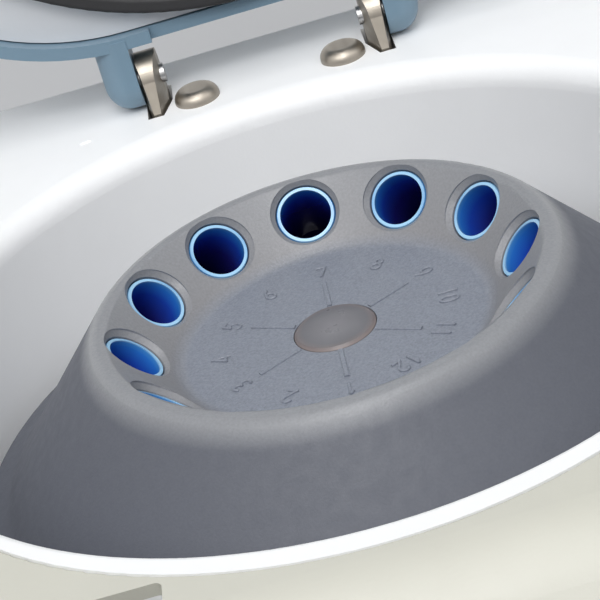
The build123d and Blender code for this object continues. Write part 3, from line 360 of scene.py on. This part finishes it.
def board_look():
    """Green solder mask with a lighter weave of tracks."""
    look = Look("circuit board", rough=0.35)
    tracks = look.add("ShaderNodeTexBrick")
    tracks.inputs["Scale"].default_value = 260
    tracks.inputs["Color1"].default_value = tint(20, 92, 50)
    tracks.inputs["Color2"].default_value = tint(24, 104, 58)
    tracks.inputs["Mortar"].default_value = tint(60, 140, 80)
    tracks.inputs["Mortar Size"].default_value = 0.03
    look.join(look.place, tracks.inputs["Vector"])
    look.join(tracks.outputs["Color"], look.shader.inputs["Base Color"])
    look.bumps((900, 0.00001, EVEN))
    return look.material


# Slot: name, colour, roughness, grains per metre, grain height in millimetres, drift of colour
PLASTICS = {
    "white_plastic": ("white housing", (247, 248, 249), (0.46, 0.56), 1500, 0.02, 0.012),
    "warm_grey_plastic": ("warm grey panel", (204, 203, 192), (0.38, 0.48), 1700, 0.025, 0.015),
    "blue_grey_plastic": ("blue-grey lid", (120, 146, 164), (0.34, 0.44), 1600, 0.03, 0.03),
    "pale_grey_plastic": ("pale grey liner", (214, 217, 221), (0.36, 0.46), 1600, 0.02, 0.02),
    "display_part": ("display module", (52, 66, 60), (0.3, 0.4), 2500, 0.01, 0.05),
    "key_grey": ("grey keys", (128, 136, 148), (0.42, 0.52), 2600, 0.02, 0.02),
    "key_green": ("green key", (70, 138, 96), (0.42, 0.52), 2600, 0.02, 0.02),
    "key_blue": ("blue key", (62, 104, 160), (0.42, 0.52), 2600, 0.02, 0.02),
    "black_rubber": ("black rubber", (38, 38, 40), (0.6, 0.75), 1400, 0.05, 0.1),
    "grey_rubber": ("grey rubber", (92, 92, 94), (0.6, 0.75), 1400, 0.05, 0.1),
    "laminations": ("varnished laminations", (86, 70, 60), (0.3, 0.5), 900, 0.08, 0.25),
    "black_plastic": ("black plastic", (34, 35, 38), (0.38, 0.5), 2000, 0.03, 0.08),
}

LOOKS = {slot: moulded(*values) for slot, values in PLASTICS.items()}
LOOKS["rotor_grey"] = rotor_look()
LOOKS["cap_grey"] = cap_look()
LOOKS["blue_sleeve"] = sleeve_look()
LOOKS["clear_window"] = clear_look()
LOOKS["display_face"] = smoked_look()
LOOKS["circuit_board"] = board_look()
LOOKS["steel"] = metal("plated steel", (178, 178, 178))
LOOKS["bearing_steel"] = metal("ground steel", (196, 198, 202), (0.15, 0.3), (1, 1, 0.2))
LOOKS["aluminium"] = metal("cast aluminium", (204, 206, 208), (0.4, 0.55), EVEN)
LOOKS["magnet"] = metal("plated magnet", (130, 132, 138), (0.25, 0.35), EVEN)

# The steel that shows in the photo is browner and duller than the rest; its darker colour is
# painted shade, the brown tone its own
SHADED_STEEL = metal("shaded steel", (156, 149, 139), (0.34, 0.5), (1, 0.05, 1))
SHADED_STEEL_NODES = {"hinge_brackets", "deck_screws"}

LIT = printed("lit segments", (196, 228, 240), 0.4)
MARK = printed("white print", (238, 240, 242))
LEGEND = printed("grey print", (92, 98, 106))


def dress_nodes():
    """Gives every CAD node the look of its slot."""
    slots = {part["node"]: part["material_slot"] for part in frame["record"]["subparts"]}
    for name, part in nodes.items():
        look = SHADED_STEEL if name in SHADED_STEEL_NODES else LOOKS[slots[name]]
        if part.material_slots:
            for place in part.material_slots:
                place.material = look
        else:
            part.data.materials.append(look)


dress_nodes()


# Drawing in mesh


def finish_mesh(bm, name, material, body):
    """Turns a bmesh into a piece that rides on a body."""
    data = bpy.data.meshes.new(name)
    bm.to_mesh(data)
    bm.free()
    data.materials.append(material)
    piece = bpy.data.objects.new(name, data)
    scene.collection.objects.link(piece)
    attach(piece, body)
    return piece


def arc(cx, cy, rx, ry, start, end, steps=14):
    """Points of an elliptical arc, with angles in degrees."""
    angles = [radians(start + (end - start) * i / steps) for i in range(steps + 1)]
    return [(cx + rx * cos(a), cy + ry * sin(a)) for a in angles]


def ridge(bm, points, base, top, height, normal):
    """Low raised bar with sloping sides, along points on a plane with the given normal."""
    closed = (points[0] - points[-1]).length < 1e-7
    if closed:
        points = points[:-1]
    count = len(points)
    half = [(base / 2, 0.0), (base * 0.46, height * 0.7), (top / 2, height)]
    section = half + [(-across, up) for across, up in reversed(half)]
    rows = []
    for i, point in enumerate(points):
        before = points[i - 1] if i or closed else point
        after = points[(i + 1) % count] if i < count - 1 or closed else point
        side = normal.cross((after - before).normalized())
        rows.append([bm.verts.new(point + side * across + normal * up) for across, up in section])
    pairs = list(zip(rows, rows[1:]))
    if closed:
        pairs.append((rows[-1], rows[0]))
    for first, second in pairs:
        for k in range(len(first) - 1):
            bm.faces.new((first[k], first[k + 1], second[k + 1], second[k]))
    if not closed:
        bm.faces.new(rows[0][::-1])
        bm.faces.new(rows[-1])


SHARP = radians(40)


def straight_parts(points, reach):
    """Splits a line at its sharp corners, where each part runs on by a reach to fill the corner."""
    cuts = [0]
    for i in range(1, len(points) - 1):
        if (points[i] - points[i - 1]).angle(points[i + 1] - points[i]) > SHARP:
            cuts.append(i)
    cuts.append(len(points) - 1)
    for first, last in zip(cuts, cuts[1:]):
        part = [point.copy() for point in points[first : last + 1]]
        if first:
            part[0] += (part[0] - part[1]).normalized() * reach
        if last < len(points) - 1:
            part[-1] += (part[-1] - part[-2]).normalized() * reach
        yield part


# Raised numbers 1 to 12 and six thin bars on the floor of the rotor's dish

# Lines of each digit in a box of 1 by 1, from its lower left corner
STROKES = {
    "0": [arc(0.5, 0.5, 0.42, 0.5, 0, 360, 24)],
    "1": [[(0.28, 0.78), (0.52, 1.0), (0.52, 0.0)]],
    "2": [arc(0.5, 0.72, 0.4, 0.28, 165, -30) + [(0.08, 0.0), (0.95, 0.0)]],
    "3": [arc(0.46, 0.76, 0.38, 0.24, 150, -85) + arc(0.46, 0.27, 0.44, 0.27, 80, -150)],
    "4": [[(0.74, 0.0), (0.74, 1.0), (0.04, 0.3), (1.0, 0.3)]],
    "5": [[(0.88, 1.0), (0.24, 1.0), (0.14, 0.54)] + arc(0.47, 0.32, 0.42, 0.32, 125, -150)],
    "6": [arc(0.5, 0.3, 0.42, 0.3, 0, 360, 22), [(0.76, 1.0), (0.36, 0.74), (0.1, 0.36)]],
    "7": [[(0.05, 1.0), (0.95, 1.0), (0.38, 0.0)]],
    "8": [arc(0.5, 0.76, 0.34, 0.24, 0, 360, 20), arc(0.5, 0.26, 0.42, 0.26, 0, 360, 22)],
    "9": [arc(0.5, 0.7, 0.42, 0.3, 0, 360, 22), [(0.24, 0.0), (0.64, 0.26), (0.9, 0.64)]],
}
POCKETS = 12
NUMBER_TALL = 3.2 * MM
NUMBER_WIDE = 1.9 * MM
NUMBER_GAP = 0.55 * MM
NUMBER_RADIUS = 19.9 * MM
NUMBER_LIFT = 0.32 * MM
STROKE_BASE = 0.52 * MM
STROKE_TOP = 0.26 * MM
STROKE_STEP = 0.004 * MM  # strokes that cross differ this much in height
CORNER_REACH = 0.2 * MM
BAR_START = 7.6 * MM
BAR_END = 16.1 * MM
BAR_BASE = 0.9 * MM
BAR_TOP = 0.66 * MM
BAR_LIFT = 0.3 * MM


def raise_number(bm, text, out):
    """One number that is read from the middle of the rotor outwards."""
    right = Vector((out.y, -out.x, 0))
    span = len(text) * NUMBER_WIDE + (len(text) - 1) * NUMBER_GAP
    for k, character in enumerate(text):
        across = k * (NUMBER_WIDE + NUMBER_GAP) - span / 2
        corner = out * (NUMBER_RADIUS - NUMBER_TALL / 2) + right * across
        corner.z = DISH_FLOOR
        lift = NUMBER_LIFT
        for stroke in STROKES[character]:
            line = [corner + right * x * NUMBER_WIDE + out * y * NUMBER_TALL for x, y in stroke]
            for part in straight_parts(line, CORNER_REACH):
                ridge(bm, part, STROKE_BASE, STROKE_TOP, lift, LEVEL)
                lift += STROKE_STEP


def number_rotor():
    bm = bmesh.new()
    for number in range(1, POCKETS + 1):
        angle = radians(-90 - (number - 1) * 360 / POCKETS)
        out = Vector((cos(angle), sin(angle), 0))
        raise_number(bm, str(number), out)
        if number % 2:
            ends = [out * BAR_START, out * BAR_END]
            for end in ends:
                end.z = DISH_FLOOR
            ridge(bm, ends, BAR_BASE, BAR_TOP, BAR_LIFT, LEVEL)
    finish_mesh(bm, "rotor_numbers", LOOKS["rotor_grey"], "rotor")


number_rotor()


# Printed signs. Their places and sizes are in millimetres

INK_HEIGHT = 0.04
INK_TOP_SHARE = 0.9


def ink(name, lines, place, body, material, width, normal=PANEL_OUT):
    """Printed lines as one piece. place turns a pair of millimetres into a point."""
    bm = bmesh.new()
    for line in lines:
        points = [place(*point) for point in line]
        ridge(bm, points, width * MM, width * INK_TOP_SHARE * MM, INK_HEIGHT * MM, normal)
    finish_mesh(bm, name, material, body)


def on_panel(u, v, out=0.0):
    """Point on the sloping panel: u to the right, v up the slope, out from the surface."""
    return PANEL_MID + Vector((u * MM, 0, 0)) + PANEL_UP * v * MM + PANEL_OUT * out * MM


def speed_sign(u, v, r):
    """Turning arrow round a centre."""
    tip = (u + r - 0.1, v + 0.6)
    inner = [tip, (u + r - 1.0, v + 1.8)]
    outer = [tip, (u + r + 1.2, v + 1.4)]
    return [arc(u, v, r, r, 20, 320, 16), inner, outer]


def time_sign(u, v, r):
    """Clock face with two hands."""
    hands = [[(u, v), (u, v + r - 0.5)], [(u, v), (u + 1.0, v - 0.4)]]
    return [arc(u, v, r, r, 0, 360, 18)] + hands


# Display: the lit segments of each digit, on a grid of one by two

SEGMENTS = {
    "0": "abcdef", "1": "bc", "2": "abged", "3": "abgcd", "4": "fgbc",
    "5": "afgcd", "6": "afgedc", "7": "abc", "8": "abcdefg", "9": "abcdfg",
}
SEGMENT_ENDS = {
    "a": ((0, 2), (1, 2)), "b": ((1, 2), (1, 1)), "c": ((1, 1), (1, 0)), "d": ((1, 0), (0, 0)),
    "e": ((0, 0), (0, 1)), "f": ((0, 1), (0, 2)), "g": ((0, 1), (1, 1)),
}
DOT_HEIGHTS = {".": [0.0], ":": [0.3, 0.7]}  # shares of a digit's height
DISPLAY_U = -46
DISPLAY_V = 1
FACE_DEPTH = -0.3
DIGIT_WIDE = 5.6
DIGIT_TALL = 12.0
DIGIT_GAP = 3.4
DIGIT_SLANT = 0.12
DOT_GAP = 2.2
DOT_TALL = 1.0
SEGMENT_CUT = 0.75  # room left at each end of a segment
SEGMENT_WIDTH = 1.15
DIGIT_FOOT = -4.5
SPEED_LEFT = -33.5
TIME_LEFT = -1.5


def readout(text, u, v):
    """Lines of a seven-segment number whose lower left corner is at u, v."""
    lines = []
    for character in text:
        if character in DOT_HEIGHTS:
            for height in DOT_HEIGHTS[character]:
                foot = v + height * DIGIT_TALL
                lines.append([(u, foot), (u, foot + DOT_TALL)])
            u += DOT_GAP
            continue
        for segment in SEGMENTS[character]:
            ends = []
            for x, y in SEGMENT_ENDS[segment]:
                up = y * DIGIT_TALL / 2
                ends.append(Vector((u + x * DIGIT_WIDE + up * DIGIT_SLANT, v + up)))
            start, end = ends
            cut = (end - start).normalized() * SEGMENT_CUT
            lines.append([tuple(start + cut), tuple(end - cut)])
        u += DIGIT_WIDE + DIGIT_GAP
    return lines


def on_display(u, v):
    return on_panel(DISPLAY_U + u, DISPLAY_V + v, FACE_DEPTH)


digits = readout("13.0", SPEED_LEFT, DIGIT_FOOT) + readout("05:00", TIME_LEFT, DIGIT_FOOT)
ink("display_digits", digits, on_display, "housing", LIT, SEGMENT_WIDTH)
display_signs = speed_sign(-31, -11, 1.8) + time_sign(4, -11, 1.9)
ink("display_signs", display_signs, on_display, "housing", LIT, 0.4)


# Keys

KEY_PROUD = 1.6
KEY_SIGN_WIDTH = 0.7
LEFT_KEYS = 12
MIDDLE_KEYS = 33
RIGHT_KEYS = 54
START_KEY = 77
UPPER_ROW = 10.5
LOWER_ROW = -8.5
LEGEND_ROW = 21.5

UP_SIGN = [[(-3.0, -1.6), (0, 1.8), (3.0, -1.6)]]
DOWN_SIGN = [[(x, -y) for x, y in UP_SIGN[0]]]
SPIN_SIGN = [[(-3.4, -2.4), (-0.4, 0), (-3.4, 2.4)], [(0.8, -2.4), (3.8, 0), (0.8, 2.4)]]
LID_SIGN = [
    [(-4, -2.4), (4, -2.4)],
    [(-3.6, -1.0), (2.6, 2.6)],
    arc(-3.6, -1.0, 3.6, 3.6, 0, 26, 5),
]
START_SIGN = [
    arc(0, 4.5, 3.2, 3.2, 115, 425, 22),
    [(0, 4.6), (0, 8.6)],
    arc(0, -6.5, 2.6, 2.6, 45, 405, 4),
]


def key_sign(key, u, v, lines):
    """White sign on the cap of a key whose middle is at u, v on the panel."""
    ink(
        key + "_sign",
        lines,
        lambda x, y: on_panel(u + x, v + y, KEY_PROUD),
        key,
        MARK,
        KEY_SIGN_WIDTH,
    )


key_sign("speed_up_key", LEFT_KEYS, UPPER_ROW, UP_SIGN)
key_sign("speed_down_key", LEFT_KEYS, LOWER_ROW, DOWN_SIGN)
key_sign("time_up_key", MIDDLE_KEYS, UPPER_ROW, UP_SIGN)
key_sign("time_down_key", MIDDLE_KEYS, LOWER_ROW, DOWN_SIGN)
key_sign("short_spin_key", RIGHT_KEYS, UPPER_ROW, SPIN_SIGN)
key_sign("lid_release_key", RIGHT_KEYS, LOWER_ROW, LID_SIGN)
key_sign("start_stop_key", START_KEY, 1.0, START_SIGN)

panel_signs = speed_sign(LEFT_KEYS, LEGEND_ROW, 1.9) + time_sign(MIDDLE_KEYS, LEGEND_ROW, 2.0)
ink("panel_signs", panel_signs, on_panel, "housing", LEGEND, 0.45)


# Rocker of the power switch, whose two faces meet in a shallow V

ROCKER_PIVOT = Vector((20, 111, 25))
ROCKER_REST = radians(8)
ROCKER_HALF = 10.6
ROCKER_FALL = 1.8  # depth of the V at its middle
ROCKER_MIDDLE = 4.2  # from the pivot to the bottom of the V
ROCKER_SIGN_PLACE = 5.6


def rocker_sign(name, side, lines):
    """Sign on one half of the rocker: side -1 is switched on, side 1 is switched off."""
    turned = Matrix.Rotation(ROCKER_REST, 3, "Z")
    along = turned @ Vector((-side * ROCKER_HALF, -ROCKER_FALL, 0)).normalized()
    rise = ROCKER_MIDDLE + ROCKER_FALL * ROCKER_SIGN_PLACE / ROCKER_HALF
    middle = ROCKER_PIVOT + turned @ Vector((side * ROCKER_SIGN_PLACE, rise, 0))
    normal = along.cross(LEVEL) * side
    ink(
        name,
        lines,
        lambda x, y: (middle + along * x + LEVEL * y) * MM,
        "power_rocker",
        MARK,
        0.6,
        normal,
    )


rocker_sign("rocker_on_sign", -1, [[(0, -2.4), (0, 2.4)]])
rocker_sign("rocker_off_sign", 1, [arc(0, 0, 1.7, 2.3, 0, 360, 20)])


# Studio

scene.view_settings.view_transform = "Standard"
WORLD_COLOUR = (0.95, 0.97, 1.0, 1)
WORLD_STRENGTH = 0.2
WHITE = (1, 1, 1, 1)


def light_world():
    """Soft light from all round, with a plain white seen by the camera, in metal and in glass."""
    world = bpy.data.worlds.new("studio")
    scene.world = world
    world.use_nodes = True
    tree = world.node_tree
    soft = tree.nodes["Background"]
    soft.inputs["Color"].default_value = WORLD_COLOUR
    soft.inputs["Strength"].default_value = WORLD_STRENGTH
    seen = tree.nodes.new("ShaderNodeBackground")
    seen.inputs["Color"].default_value = WHITE
    rays = tree.nodes.new("ShaderNodeLightPath")
    choose = tree.nodes.new("ShaderNodeMixShader")
    seen_by = rays.outputs["Is Camera Ray"]
    for kind in ("Is Glossy Ray", "Is Transmission Ray"):
        most = tree.nodes.new("ShaderNodeMath")
        most.operation = "MAXIMUM"
        tree.links.new(seen_by, most.inputs[0])
        tree.links.new(rays.outputs[kind], most.inputs[1])
        seen_by = most.outputs["Value"]
    tree.links.new(seen_by, choose.inputs["Fac"])
    tree.links.new(soft.outputs["Background"], choose.inputs[1])
    tree.links.new(seen.outputs["Background"], choose.inputs[2])
    tree.links.new(choose.outputs["Shader"], tree.nodes["World Output"].inputs["Surface"])


def lamp(name, place, wide, deep, power):
    """Soft lamp that faces the middle of the deck."""
    data = bpy.data.lights.new(name, "AREA")
    data.shape = "RECTANGLE"
    data.size = wide
    data.size_y = deep
    data.energy = power
    light = bpy.data.objects.new(name, data)
    scene.collection.objects.link(light)
    light.location = place
    way = Vector((0, 0, DECK)) - Vector(place)
    light.rotation_euler = way.to_track_quat("-Z", "Y").to_euler()


light_world()
lamp("front", (0, -1.2, 1.4), 0.8, 0.8, 8)
lamp("front_high", (0.1, -0.7, 1.5), 0.7, 0.7, 6)
lamp("overhead", (0.05, -0.05, 1.65), 0.8, 0.5, 4.5)
lamp("front_left", (-0.65, -1.0, 1.35), 0.8, 0.8, 6.5)
lamp("left_side", (-1.25, -0.55, 1.25), 0.9, 0.9, 2)
lamp("right_side", (1.25, -0.55, 1.25), 0.9, 0.9, 3.5)

STUDIO_REACH = 3


def lay_floor():
    """Pale floor under the machine, which keeps its shadow."""
    bm = bmesh.new()
    bmesh.ops.create_grid(bm, x_segments=1, y_segments=1, size=STUDIO_REACH)
    data = bpy.data.meshes.new("floor")
    bm.to_mesh(data)
    bm.free()
    floor = bpy.data.objects.new("floor", data)
    scene.collection.objects.link(floor)
    ground = Look("pale floor", rough=0.7)
    ground.colour(tint(212, 213, 215), 0.01, 5)
    ground.bumps((300, 0.00002, EVEN))
    data.materials.append(ground.material)


lay_floor()
